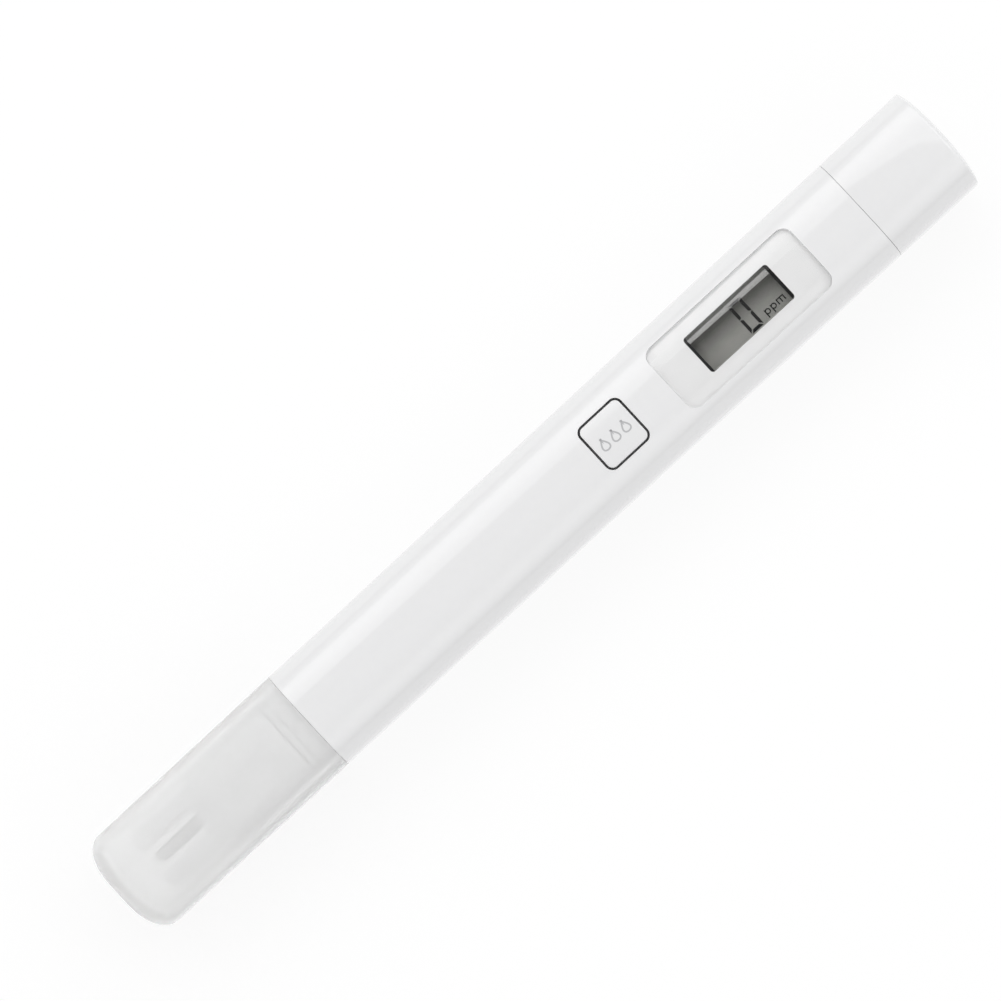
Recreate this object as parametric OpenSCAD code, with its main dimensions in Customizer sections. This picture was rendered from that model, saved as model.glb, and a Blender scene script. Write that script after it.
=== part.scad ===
// Pen-shaped digital water tester: a tapered white pen with a frosted tip cap over its
// probe, a square key, a small liquid-crystal display and a pull-off battery cap.
// It lies on its back along X: tip at -X, battery end at +X, display facing +Z.

/* [Overall] */
// Length of the closed pen
pen_length = 151; // [125:0.1:185]
// Width across the closed tip
tip_width = 15.6; // [15:0.1:19.5]
// Width across the battery end
end_width = 16.4; // [16:0.1:20]
// Depth from back to display face
pen_depth = 16.6; // [16.4:0.1:20.5]
// Roundness of the outline: 2 is an ellipse, 4 is nearly square
section_power = 3; // [2.5:0.1:3.6]
// How much the back is flattened so that the pen lies still
back_flat = 0.15; // [0.1:0.01:0.3]

/* [Caps] */
// Length of the frosted tip cap
tip_cap_length = 34.7; // [28.6:0.1:42]
// Length of the battery cap
end_cap_length = 14.9; // [12:0.1:17.5]
// Wall of both caps
cap_wall = 1.3; // [1.1:0.05:1.55]
// Play between a cap and the neck that it slides on
cap_play = 0.12; // [0.08:0.01:0.2]
// Width of the joint line between the tip cap and the body
tip_seam_gap = 0.04; // [0.04:0.01:0.2]
// Width of the joint line between the battery cap and the body
end_seam_gap = 0.05; // [0.05:0.01:0.3]
// Rounding of the tip along the pen
tip_round_length = 3.2; // [2:0.1:4.5]
// Rounding of the tip across the pen
tip_round_inset = 5.2; // [3:0.1:6]
// Rounding of the battery end along the pen
end_round_length = 0.8; // [0.6:0.05:1.2]
// Rounding of the battery end across the pen
end_round_inset = 1.2; // [0.8:0.1:2]
// How far the battery end's face falls back towards its two sides
end_bow = 0.5; // [0.2:0.05:0.8]

/* [Body] */
// Wall of the body shell at its narrow end
shell_wall = 1.3; // [1.1:0.05:1.55]
// Play between the body shell and what slides into it
slide_play = 0.1; // [0.05:0.01:0.15]

/* [Key] */
// Distance from the display's centre to the key's centre
key_spacing = 22.92; // [21:0.1:27.4]
// Side of the square key
key_size = 6.8; // [5.6:0.1:8.2]
// Corner radius of the key
key_corner = 0.8; // [0.5:0.1:1.5]
// Gap round the key
key_gap = 0.4; // [0.2:0.01:0.5]
// Travel of the key
key_travel = 0.35; // [0.2:0.05:0.4]

/* [Display] */
// Distance from the battery cap's joint to the display's centre
display_setback = 22.08; // [20:0.1:27]
// Length of the clear lens panel
lens_length = 26; // [21.5:0.1:31]
// Width of the clear lens panel
lens_width = 10.5; // [8.7:0.1:12.6]
// Corner radius of the lens panel
lens_corner = 1.6; // [1:0.1:3]
// Thickness of the lens panel
lens_thickness = 0.6; // [0.45:0.05:0.75]
// Thickness of the printed mask under the lens
mask_thickness = 0.08; // [0.05:0.01:0.12]
// How far the lens sits below the body's face
lens_sink = 0.06; // [0.02:0.01:0.12]
// Gap round the lens
lens_gap = 0.05; // [0.05:0.01:0.2]
// Length of the window in the mask
window_length = 15.2; // [12.6:0.1:18.3]
// Width of the window in the mask
window_width = 6.1; // [5:0.1:7.4]
// Corner radius of the window
window_corner = 0.5; // [0.2:0.1:1]
// Length of the display glass
glass_length = 18; // [16.5:0.1:21.6]
// Width of the front display glass
glass_width = 7.6; // [6.3:0.1:9.2]
// Thickness of each display glass
glass_thickness = 0.55; // [0.4:0.05:0.7]
// Width of the black bar seen at each end of the display
frame_reveal = 0.45; // [0.2:0.05:0.6]

/* [Electronics] */
// Width of the circuit board
board_width = 10.4; // [9:0.1:12.4]
// Thickness of the circuit board
board_thickness = 1; // [0.8:0.1:1.2]
// Side of the square push switch
switch_size = 4.5; // [3.8:0.1:5.4]
// Height of the push switch's body
switch_height = 1.3; // [1:0.1:1.6]
// Diameter of the board screws' shanks
screw_diameter = 1.4; // [1.2:0.1:1.6]

/* [Battery] */
// Diameter of a button cell
cell_diameter = 11.6; // [9.5:0.1:11.6]
// Height of a button cell
cell_height = 5.4; // [4.5:0.1:5.4]
// Play round the cells
cell_play = 0.15; // [0.1:0.01:0.3]

/* [Probe] */
// Diameter of a probe pin
pin_diameter = 1.6; // [1.3:0.1:2]
// Distance between the centres of the two pins
pin_spacing = 5.8; // [4.8:0.1:7]
// Length of pin in the water slot
pin_reach = 7.8; // [6.5:0.1:8.2]
// Width of the water slot across the pen
slot_width = 4.6; // [3.8:0.1:5.6]
// How far the guard stands past the pins
guard_lead = 1.2; // [0.6:0.1:1.6]
// Distance from the pins' bases to the end of the neck
slot_shoulder = 2.2; // [1.5:0.1:3]

/* [Hidden] */

ring_steps = 64;          // points round an outline, a multiple of four
round_steps = 6;          // steps in a cap's rounded end
eps = 0.01;               // sliver that makes cuts clean
contact_play = 0.02;      // play between pieces that touch within the body
facet = 48;               // facets of round pieces

half_length = pen_length / 2;
tip_x = -half_length;
end_x = half_length;
tip_seam_x = tip_x + tip_cap_length;
end_seam_x = end_x - end_cap_length;
display_x = end_seam_x - display_setback;
key_x = display_x - key_spacing;
half_depth = (pen_depth + back_flat) / 2;
axis_z = half_depth - back_flat;

// Half width of the outside at a place along the pen
function half_width(x) = (tip_width + (end_width - tip_width) * (x - tip_x) / pen_length) / 2;

// The pen's soft-square outline, with its back cut flat
function spow(v, p) = sign(v) * pow(abs(v), p);
function outline(half_w, half_d) = [
    for (i = [0:ring_steps - 1])
        let (t = 360 * (i + 0.5) / ring_steps)
            [half_w * spow(cos(t), 2 / section_power),
             axis_z + max(half_d * spow(sin(t), 2 / section_power), back_flat - half_d)]
];
function ring(x, inset, bow = 0) = [
    for (p = outline(half_width(x) - inset, half_depth - inset))
        [x - bow * pow(p[0] / half_width(x), 2), p[0], p[1]]
];

// A closed solid through a list of rings, from low X to high X. Its ends are strips that
// join each point to the one below it, so that they may bow from side to side.
module loft(rings) {
    n = len(rings[0]);
    last = n * (len(rings) - 1);
    sides = [
        for (k = [0:len(rings) - 2])
            for (i = [0:n - 1])
                let (a = k * n + i, b = k * n + (i + 1) % n)
                    [a, a + n, b + n, b]
    ];
    ends = [
        for (i = [0:n / 2 - 2]) each [
            [i, i + 1, n - 2 - i, n - 1 - i],
            [last + n - 1 - i, last + n - 2 - i, last + i + 1, last + i],
        ]
    ];
    polyhedron(points = [for (r = rings) each r], faces = concat(sides, ends));
}

// A solid of constant section along X
module x_prism(points, x0, x1) {
    translate([x0, 0, 0]) rotate([90, 0, 90]) linear_extrude(x1 - x0) polygon(points);
}

// A round bar along X
module x_rod(d, x0, x1, y = 0, z = axis_z) {
    translate([x0, y, z]) rotate([0, 90, 0]) cylinder(d = d, h = x1 - x0, $fn = facet);
}

// A block given by its lowest and highest corners
module block(low, high) {
    translate(low) cube([high[0] - low[0], high[1] - low[1], high[2] - low[2]]);
}

// A rounded rectangle centred on the origin
function rounded(l, w, r, steps = 6) = [
    for (c = [[1, 1, 0], [-1, 1, 90], [-1, -1, 180], [1, -1, 270]])
        for (i = [0:steps])
            let (t = c[2] + 90 * i / steps)
                [c[0] * (l / 2 - r) + r * cos(t), c[1] * (w / 2 - r) + r * sin(t)]
];
module rounded_block(x, l, w, r, z0, z1) {
    translate([x, 0, z0]) linear_extrude(z1 - z0) polygon(rounded(l, w, r));
}

// The tapered outside of the whole pen, taken in by an inset
module outside(inset) {
    loft([ring(tip_x, inset), ring(end_x, inset)]);
}
module span(x0, x1) {
    block([x0, -pen_depth, -1], [x1, pen_depth, pen_depth + 1]);
}

// ---- Places that several pieces share ----
cavity_half_w = min(half_width(tip_seam_x), half_width(end_seam_x)) - shell_wall;
cavity_half_d = half_depth - shell_wall;
function cavity_outline(play) = outline(cavity_half_w - play, cavity_half_d - play);
// Height of the cavity's ceiling at a distance from the pen's centre line
function ceiling_at(y) = axis_z
    + cavity_half_d * pow(1 - pow(y / cavity_half_w, section_power), 1 / section_power);

// display stack, from the front down
frame_half_w = glass_width / 2 + 0.3;
frame_top_z = min(ceiling_at(0) - 0.8, ceiling_at(frame_half_w) - 0.15);
frame_lip = 0.35;
frame_length = glass_length + 1.2;
polarizer_thickness = 0.15;
segment_thickness = 0.04;
polarizer_z = frame_top_z - frame_lip - contact_play;
front_glass_z = polarizer_z - polarizer_thickness - segment_thickness;
rear_glass_z = front_glass_z - glass_thickness;
reflector_z = rear_glass_z - glass_thickness;
strip_height = switch_height + key_travel + 1.05;
board_top_z = rear_glass_z - strip_height;
board_z = board_top_z - board_thickness;
strip_width = 1.1;
strip_y = glass_width / 2 - strip_width / 2 - 0.1;
rear_glass_width = glass_width - 2 * strip_width - 0.6;
opening_length = window_length + 0.9;
opening_width = window_width + 0.8;

// key and switch
key_hole = key_size + 2 * key_gap;
key_collar = key_hole + 1.6;
flange_top_z = frame_top_z - 0.9;
flange_thickness = 0.6;
flange_z = flange_top_z - flange_thickness;
collar_z = flange_top_z + 0.05;
switch_top_z = board_top_z + switch_height;
plunger_top_z = switch_top_z + key_travel + 0.05;
pad_z = plunger_top_z + contact_play;

// probe
neck_half_w = tip_width / 2 - cap_wall - cap_play;
neck_half_d = half_depth - cap_wall - cap_play;
slot_x = tip_x + cap_wall + 13.6;
pin_tip_x = slot_x - pin_reach;
guard_x = pin_tip_x - guard_lead;
neck_x = slot_x + slot_shoulder;
plug_x = tip_seam_x + 6.6;
pin_tail_x = plug_x + 1.2;
pin_z = [axis_z + pin_spacing / 2, axis_z - pin_spacing / 2];
guard_inset = 1.5;
guard_round = 1.4;
ring_wire = 1.2;
ring_x = tip_seam_x - 3.2;
ring_groove_depth = ring_wire - cap_play + 0.08;
groove_half = ring_wire / 2 + 0.1;
thermistor_diameter = 1.8;
thermistor_x = slot_x + 1;

// battery end
cap_inner_half_w = half_width(end_seam_x) - cap_wall;
cap_inner_half_d = half_depth - cap_wall;
neck_end_half_w = cap_inner_half_w - cap_play;
neck_end_half_d = cap_inner_half_d - cap_play;
seal_thickness = 0.8;
seal_width = 0.7;
plate_thickness = 0.3;
cap_inner_x = end_x - cap_wall;
plate_x = cap_inner_x - plate_thickness;
cell_end_x = plate_x - 0.6;
cell_start_x = cell_end_x - 2 * cell_height - contact_play;
spring_length = 1.05;
seat_thickness = 0.3;
bore_x = cell_start_x - spring_length - seat_thickness;
housing_x0 = min(bore_x, end_seam_x) - 3.2;
housing_x1 = cell_end_x;
strip_radius = cell_diameter / 2 + cell_play + 0.35;
strip_metal = 0.3;
strip_half_w = 0.8;

// board and chassis
board_x0 = tip_seam_x + 8.8;
board_x1 = housing_x0 - 0.3;
chassis_x0 = board_x0 + 2.2;
trough_width = board_width - 2;
trough_z = 3.4;
screw_xs = [board_x0 + 5, (board_x0 + key_x) / 2, (key_x + key_size / 2 + display_x - frame_length / 2) / 2,
    display_x + frame_length / 2 + 2.2];
boss_diameter = screw_diameter + 2;
head_diameter = screw_diameter * 1.9;
head_height = 0.9;
screw_depth = 4.5;

// ---- Outer pieces ----
module body_shell() {
    x0 = tip_seam_x + tip_seam_gap / 2;
    x1 = end_seam_x - end_seam_gap / 2;
    recess = lens_sink + lens_thickness + mask_thickness + contact_play;
    color("white") difference() {
        union() {
            difference() {
                intersection() {
                    outside(0);
                    span(x0, x1);
                }
                x_prism(cavity_outline(0), x0 - 1, x1 + 1);
            }
            intersection() {
                difference() {
                    rounded_block(key_x, key_collar, key_collar, key_corner + 0.8, collar_z, pen_depth);
                    rounded_block(key_x, key_hole, key_hole, key_corner + key_gap,
                        collar_z - 1, pen_depth + 1);
                }
                outside(shell_wall / 2);
            }
        }
        difference() {
            rounded_block(display_x, lens_length + 2 * lens_gap, lens_width + 2 * lens_gap,
                lens_corner + lens_gap, axis_z, pen_depth + 1);
            outside(recess);
        }
        rounded_block(display_x, opening_length, opening_width, window_corner, axis_z, pen_depth + 1);
        rounded_block(key_x, key_hole, key_hole, key_corner + key_gap, axis_z, pen_depth + 1);
    }
}

// Rings of a cap's rounded end: side is -1 at the tip and 1 at the battery end
function round_rings(x_end, side, along, across, inset, bow = 0) = [
    for (k = [0:round_steps])
        let (t = 90 * k / round_steps)
            ring(x_end - side * along * (1 - cos(t)), inset + across * (1 - sin(t)), bow * cos(t))
];
function flip(list) = [for (i = [len(list) - 1:-1:0]) list[i]];

module tip_cap() {
    mouth_x = tip_seam_x - tip_seam_gap / 2;
    inner_x = tip_x + cap_wall + 0.3;
    color("gainsboro", 0.8) difference() {
        loft(concat(round_rings(tip_x, -1, tip_round_length, tip_round_inset, 0), [ring(mouth_x, 0)]));
        intersection() {
            loft(concat(round_rings(inner_x, -1, tip_round_length - 0.6, tip_round_inset - 1, cap_wall),
                [ring(mouth_x + 1, cap_wall)]));
            x_prism(outline(tip_width / 2 - cap_wall, half_depth - cap_wall), inner_x - 1, mouth_x + 2);
        }
    }
}

module end_cap() {
    mouth_x = end_seam_x + end_seam_gap / 2;
    seal_half = seal_width + 0.08;
    color("white") difference() {
        loft(concat([ring(mouth_x, 0)],
            flip(round_rings(end_x, 1, end_round_length, end_round_inset, 0, end_bow))));
        x_prism(outline(cap_inner_half_w, cap_inner_half_d), mouth_x - 1, cap_inner_x);
        x_prism(outline(neck_end_half_w + seal_half, neck_end_half_d + seal_half),
            mouth_x - 1, end_seam_x + seal_thickness + 0.1);
    }
}

module button_cap() {
    color("white") {
        intersection() {
            rounded_block(key_x, key_size, key_size, key_corner, flange_z + eps, pen_depth + 1);
            outside(0);
        }
        rounded_block(key_x, key_collar - 0.4, key_collar - 0.4, key_corner + 0.5, flange_z, flange_top_z);
    }
}

// Silicone pad between the key and the switch
module button_pad() {
    color("silver") {
        rounded_block(key_x, key_size, key_size, key_corner, flange_z - 0.35, flange_z);
        translate([key_x, 0, pad_z]) cylinder(d = 2.4, h = flange_z - 0.3 - pad_z, $fn = facet);
    }
}

// ---- Display ----
module display_lens() {
    color("white", 0.4) difference() {
        intersection() {
            rounded_block(display_x, lens_length, lens_width, lens_corner, axis_z, pen_depth + 1);
            outside(lens_sink);
        }
        outside(lens_sink + lens_thickness);
    }
}

module lens_mask() {
    top = lens_sink + lens_thickness;
    color("white") difference() {
        intersection() {
            rounded_block(display_x, lens_length, lens_width, lens_corner, axis_z, pen_depth + 1);
            outside(top);
        }
        outside(top + mask_thickness);
        rounded_block(display_x, window_length, window_width, window_corner, axis_z, pen_depth + 1);
    }
}

module lcd_frame() {
    inner_w = 2 * frame_half_w - 0.5;
    view_w = glass_width - 0.7;
    color("black") difference() {
        rounded_block(display_x, frame_length, 2 * frame_half_w, 0.4, board_top_z, frame_top_z);
        rounded_block(display_x, frame_length - 0.9, inner_w, 0.2, board_top_z - 1, frame_top_z - frame_lip);
        rounded_block(display_x, window_length - 2 * frame_reveal, view_w, 0.2, board_top_z, frame_top_z + 1);
    }
}

module display_layer(l, w, z, h) {
    translate([display_x - l / 2, -w / 2, z]) cube([l, w, h]);
}

module lcd_polarizer() {
    color("dimgray") display_layer(glass_length - 0.6, glass_width - 0.4,
        polarizer_z - polarizer_thickness, polarizer_thickness);
}

// A seven-segment nought and its unit, lying between the front glass and the polarizer
digit_x = display_x + 1;
digit_y = -0.22;
digit_half_w = 1.1;
digit_half_h = 2.49;
stroke = 0.45;
segment_gap = 0.06;
module end_segment() {
    w = digit_half_w - 2 * segment_gap;
    polygon([[-w, 0], [w, 0], [w - stroke, -stroke], [stroke - w, -stroke]]);
}
module side_segment() {
    h = digit_half_h - 2 * segment_gap;
    polygon([[0, segment_gap], [0, h], [-stroke, h - stroke], [-stroke, stroke / 2 + segment_gap],
        [-stroke / 2, segment_gap]]);
}
unit_x = display_x + 3.15;
unit_y = -2.25;
letter_height = 0.84;
letter_stroke = 0.17;
module unit_letter_p() {
    r = letter_height / 2;
    translate([r, r]) difference() {
        circle(r, $fn = facet);
        circle(r - letter_stroke, $fn = facet);
    }
    translate([0, -0.4]) square([letter_stroke, letter_height + 0.4]);
}
module unit_letter_m() {
    for (i = [0:2]) translate([i * 0.55, 0]) square([letter_stroke, letter_height - 0.08]);
    translate([0, letter_height - letter_stroke]) square([1.1 + letter_stroke, letter_stroke]);
}
module lcd_segments() {
    color("black") translate([0, 0, front_glass_z]) linear_extrude(segment_thickness) {
        translate([digit_x, digit_y]) for (row = [0, 1]) mirror([0, row]) {
            translate([0, digit_half_h]) end_segment();
            for (side = [0, 1]) mirror([side, 0]) translate([digit_half_w, 0]) side_segment();
        }
        translate([unit_x, unit_y]) {
            unit_letter_p();
            translate([1.08, 0]) unit_letter_p();
            translate([2.16, 0]) unit_letter_m();
        }
    }
}

module lcd_front_glass() {
    color("lightgray", 0.5) display_layer(glass_length, glass_width, rear_glass_z, glass_thickness);
}

module lcd_rear_glass() {
    color("lightgray", 0.5) display_layer(glass_length, rear_glass_width, reflector_z, glass_thickness);
}

module lcd_reflector() {
    color("silver") display_layer(glass_length - 0.4, rear_glass_width - 0.2,
        reflector_z - polarizer_thickness, polarizer_thickness);
}

// Rubber strip that joins the board to the display's contacts
module zebra_strip(side) {
    length = glass_length - 2;
    color("lightgray") translate([display_x - length / 2, side * strip_y - strip_width / 2, board_top_z])
        cube([length, strip_width, strip_height]);
}

// ---- Electronics ----
module circuit_board() {
    color("darkgreen") difference() {
        block([board_x0, -board_width / 2, board_z], [board_x1, board_width / 2, board_top_z]);
        for (x = screw_xs)
            translate([x, 0, board_z - 1])
                cylinder(d = screw_diameter + 0.2, h = board_thickness + 2, $fn = facet);
    }
}

module controller_chip() {
    side = 5;
    height = 1.1;
    legs = 6;
    pitch = 0.7;
    x = (screw_xs[1] + screw_xs[0]) / 2 + 1;
    color("black") translate([x - side / 2, -side / 2, board_top_z + 0.12]) cube([side, side, height]);
    color("silver") for (i = [0:legs - 1], s = [-1, 1])
        translate([x + (i - (legs - 1) / 2) * pitch - 0.15, s * (side / 2 + 0.4) - 0.4, board_top_z])
            cube([0.3, 0.8, 0.3]);
}

// Small parts on the front of the board: [x from the key, y]
module chip_parts(places, l, w, h) {
    for (p = places)
        translate([key_x + p[0] - l / 2, p[1] - w / 2, board_top_z]) cube([l, w, h]);
}
module chip_resistors() {
    color("black") chip_parts(
        [for (i = [0:3]) [-6.2 - i * 1.5, 3.6], for (i = [0:2]) [-6.2 - i * 1.5, -3.6]],
        0.8, 1.5, 0.45);
}
module chip_capacitors() {
    color("tan") chip_parts([[4.8, 3.4], [4.8, -3.4], [-4.4, -3.6]], 1, 1.8, 0.8);
}

module switch_body() {
    color("dimgray") difference() {
        translate([key_x - switch_size / 2, -switch_size / 2, board_top_z])
            cube([switch_size, switch_size, switch_height]);
        translate([key_x, 0, board_top_z + 0.25]) cylinder(d = 2.1, h = switch_height, $fn = facet);
    }
}

module switch_plunger() {
    z0 = board_top_z + 0.3 + key_travel;
    color("black") translate([key_x, 0, z0]) cylinder(d = 2, h = plunger_top_z - z0, $fn = facet);
}

// Trough that carries the board inside the shell
module chassis() {
    color("white") difference() {
        union() {
            difference() {
                intersection() {
                    x_prism(cavity_outline(slide_play), chassis_x0, board_x1);
                    block([chassis_x0 - 1, -20, -1], [board_x1 + 1, 20, board_z - contact_play]);
                }
                block([chassis_x0 + 1.2, -trough_width / 2, trough_z],
                    [board_x1 - 1.2, trough_width / 2, pen_depth]);
            }
            for (x = screw_xs)
                translate([x, 0, trough_z - 0.5])
                    cylinder(d = boss_diameter, h = board_z - contact_play - trough_z + 0.5, $fn = facet);
        }
        for (x = screw_xs)
            translate([x, 0, board_top_z - screw_depth - 0.2])
                cylinder(d = screw_diameter + 2 * contact_play, h = screw_depth, $fn = facet);
    }
}

module board_screws() {
    color("silver") for (x = screw_xs) translate([x, 0, board_top_z]) difference() {
        union() {
            translate([0, 0, -screw_depth]) cylinder(d = screw_diameter, h = screw_depth + 0.1, $fn = facet);
            cylinder(d = head_diameter, h = head_height, $fn = facet);
        }
        for (a = [0, 90])
            rotate(a) block([-head_diameter * 0.3, -0.15, head_height - 0.4], [head_diameter * 0.3, 0.15, 2]);
    }
}

// ---- Probe ----
module probe_holder() {
    steps = 4;
    function neck_ring(x, i) = [for (p = outline(neck_half_w - i, neck_half_d - i)) [x, p[0], p[1]]];
    color("white") difference() {
        union() {
            x_prism(cavity_outline(slide_play), tip_seam_x - eps, plug_x);
            loft(concat(
                [for (k = [0:steps]) let (t = 90 * k / steps)
                    neck_ring(guard_x + guard_round * (1 - cos(t)),
                        guard_inset + guard_round * (1 - sin(t)))],
                [neck_ring(neck_x - guard_inset, guard_inset)],
                [for (k = [1:steps]) let (t = 90 * k / steps)
                    neck_ring(neck_x - guard_inset * (1 - sin(t)), guard_inset * cos(t))],
                [neck_ring(tip_seam_x, 0)]));
        }
        block([guard_x - 1, -slot_width / 2, -1], [slot_x, slot_width / 2, pen_depth + 1]);
        for (z = pin_z) x_rod(pin_diameter + contact_play, slot_x - 1, plug_x + 1, 0, z);
        x_rod(thermistor_diameter + 2 * contact_play, thermistor_x, plug_x + 1);
        difference() {
            x_prism(outline(neck_half_w + 1, neck_half_d + 1), ring_x - groove_half, ring_x + groove_half);
            x_prism(outline(neck_half_w - ring_groove_depth, neck_half_d - ring_groove_depth),
                ring_x - 2, ring_x + 2);
        }
    }
}

module probe_pin(z) {
    color("silver") {
        x_rod(pin_diameter, pin_tip_x + pin_diameter / 2, pin_tail_x, 0, z);
        translate([pin_tip_x + pin_diameter / 2, 0, z]) sphere(d = pin_diameter, $fn = facet);
    }
}

// Insulated leads from the pins' tails to the board: the front one lies on the board, and
// the rear one rises further on and lies under it
lead_diameter = 0.7;
lead_x = [pin_tail_x + 0.5, pin_tail_x + 1.4];
module probe_lead(side) {
    x = lead_x[side];
    z = pin_z[side];
    r = lead_diameter / 2;
    board_face_z = side == 0 ? board_top_z + r : board_z - r;
    color(side == 0 ? "red" : "black") {
        x_rod(lead_diameter, pin_tail_x, x, 0, z);
        for (end_z = [z, board_face_z]) translate([x, 0, end_z]) sphere(d = lead_diameter, $fn = facet);
        translate([x, 0, min(z, board_face_z)])
            cylinder(d = lead_diameter, h = abs(z - board_face_z), $fn = facet);
        x_rod(lead_diameter, x, board_x0 + 1.6, 0, board_face_z);
    }
}

module thermistor() {
    color("black") {
        x_rod(thermistor_diameter, thermistor_x + thermistor_diameter / 2, thermistor_x + 4);
        intersection() {
            translate([thermistor_x + thermistor_diameter / 2, 0, axis_z])
                sphere(d = thermistor_diameter, $fn = facet);
            block([thermistor_x, -2, 0], [thermistor_x + 4, 2, pen_depth]);
        }
    }
}

module thermistor_leads() {
    wire = 0.3;
    bend_x = board_x0 + 0.9;
    color("silver") for (y = [-0.7, 0.7]) {
        x_rod(wire, thermistor_x + 4, bend_x, y);
        translate([bend_x, y, axis_z]) sphere(d = wire, $fn = facet);
        translate([bend_x, y, axis_z]) cylinder(d = wire, h = board_z - axis_z, $fn = facet);
    }
}

// A round cord bent along the pen's outline
module outline_ring(x, half_w, half_d, d) {
    sides = 8;
    path = outline(half_w, half_d);
    n = len(path);
    function out_of(i) = let (a = path[(i + n - 1) % n], b = path[(i + 1) % n], v = [b[1] - a[1], a[0] - b[0]])
        v / norm(v);
    points = [
        for (i = [0:n - 1]) for (j = [0:sides - 1])
            let (o = out_of(i), t = 360 * j / sides, r = d / 2)
                [x + r * sin(t), path[i][0] + o[0] * r * cos(t), path[i][1] + o[1] * r * cos(t)]
    ];
    faces = [
        for (i = [0:n - 1]) for (j = [0:sides - 1])
            let (i2 = (i + 1) % n, j2 = (j + 1) % sides)
                [i * sides + j, i2 * sides + j, i2 * sides + j2, i * sides + j2]
    ];
    polyhedron(points = points, faces = faces);
}

module tip_o_ring() {
    middle = cap_play + neck_half_w - contact_play - ring_wire / 2;
    middle_d = cap_play + neck_half_d - contact_play - ring_wire / 2;
    color("dimgray") outline_ring(ring_x, middle, middle_d, ring_wire);
}

// ---- Battery end ----
module end_seal() {
    color("dimgray") difference() {
        x_prism(outline(neck_end_half_w + seal_width, neck_end_half_d + seal_width),
            end_seam_x, end_seam_x + seal_thickness);
        x_prism(outline(neck_end_half_w + contact_play, neck_end_half_d + contact_play),
            end_seam_x - 1, end_seam_x + seal_thickness + 1);
    }
}

module battery_housing() {
    color("white") difference() {
        union() {
            x_prism(cavity_outline(slide_play), housing_x0, end_seam_x + eps);
            x_prism(outline(neck_end_half_w, neck_end_half_d), end_seam_x, housing_x1);
        }
        x_rod(cell_diameter + 2 * cell_play, bore_x, housing_x1 + 1);
        strip_cut(0.05);
        block([housing_x0 - 1, -tab_half_w - 0.1, board_top_z - 0.1],
            [bore_x + 1, tab_half_w + 0.1, board_top_z + seat_thickness + 0.1]);
    }
}

// Slot at the housing's corner for the strip that reaches the end cap's contact
module strip_cut(play) {
    translate([0, 0, axis_z]) rotate([45, 0, 0])
        block([housing_x0 - 1, -strip_half_w - play, strip_radius - play],
            [housing_x1 + 1, strip_half_w + play, strip_radius + strip_metal + play]);
}

// Strip along the housing's corner, with a foot on the board
module battery_strip() {
    reach = (strip_radius + strip_metal / 2) * sin(45);
    foot = 0.4;
    x0 = board_x1 - 2.2;
    link_z = max(axis_z + reach - strip_metal / 2, board_top_z);
    color("gold") {
        translate([0, 0, axis_z]) rotate([45, 0, 0])
            block([board_x1 + 0.1, -strip_half_w, strip_radius],
                [plate_x - contact_play, strip_half_w, strip_radius + strip_metal]);
        block([x0, -reach - foot, link_z], [housing_x0 - 0.05, -reach + foot, link_z + strip_metal]);
        block([x0, -reach - foot, board_top_z], [x0 + 1.6, -reach + foot, link_z + strip_metal]);
    }
}

module battery_cell(x0) {
    rim = 0.5;
    color("silver") {
        x_rod(cell_diameter - 1.6, x0, x0 + rim + eps);
        x_rod(cell_diameter, x0 + rim, x0 + cell_height);
    }
}

// Conical coil that pushes the cells against the end cap's contact
module battery_spring() {
    wire = 0.35;
    turns = 2.5;
    steps = 40;
    sides = 6;
    big = cell_diameter / 2 - 1.6;
    small = 1.8;
    x0 = cell_start_x - spring_length + wire / 2;
    x1 = cell_start_x - wire / 2 - contact_play;
    function centre(s) = let (r = big + (small - big) * s, t = 360 * turns * s)
        [x0 + (x1 - x0) * s, r * cos(t), axis_z + r * sin(t)];
    points = [
        for (k = [0:steps]) for (j = [0:sides - 1])
            let (s = k / steps, t = 360 * turns * s, a = 360 * j / sides, c = centre(s), r = wire / 2)
                [c[0] + r * sin(a), c[1] + r * cos(a) * cos(t), c[2] + r * cos(a) * sin(t)]
    ];
    last = steps * sides;
    faces = concat(
        [for (k = [0:steps - 1]) for (j = [0:sides - 1])
            let (a = k * sides + j, b = k * sides + (j + 1) % sides) [a, a + sides, b + sides, b]],
        [[for (j = [0:sides - 1]) j], [for (j = [sides - 1:-1:0]) last + j]]);
    color("silver") polyhedron(points = points, faces = faces);
}

// Round seat under the spring, with a tab through the housing's wall to the board
tab_half_w = 1.2;
module spring_tab() {
    color("silver") {
        block([board_x1 - 1.6, -tab_half_w, board_top_z], [bore_x + eps, tab_half_w, board_top_z + seat_thickness]);
        x_rod(cell_diameter - 0.8, bore_x, bore_x + seat_thickness);
    }
}

module end_contact() {
    dome = 3.2;
    color("silver") {
        x_prism(outline(cap_inner_half_w - 0.1, cap_inner_half_d - 0.1), plate_x, cap_inner_x - contact_play);
        x_rod(dome, cell_end_x + contact_play, plate_x + eps);
    }
}

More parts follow.
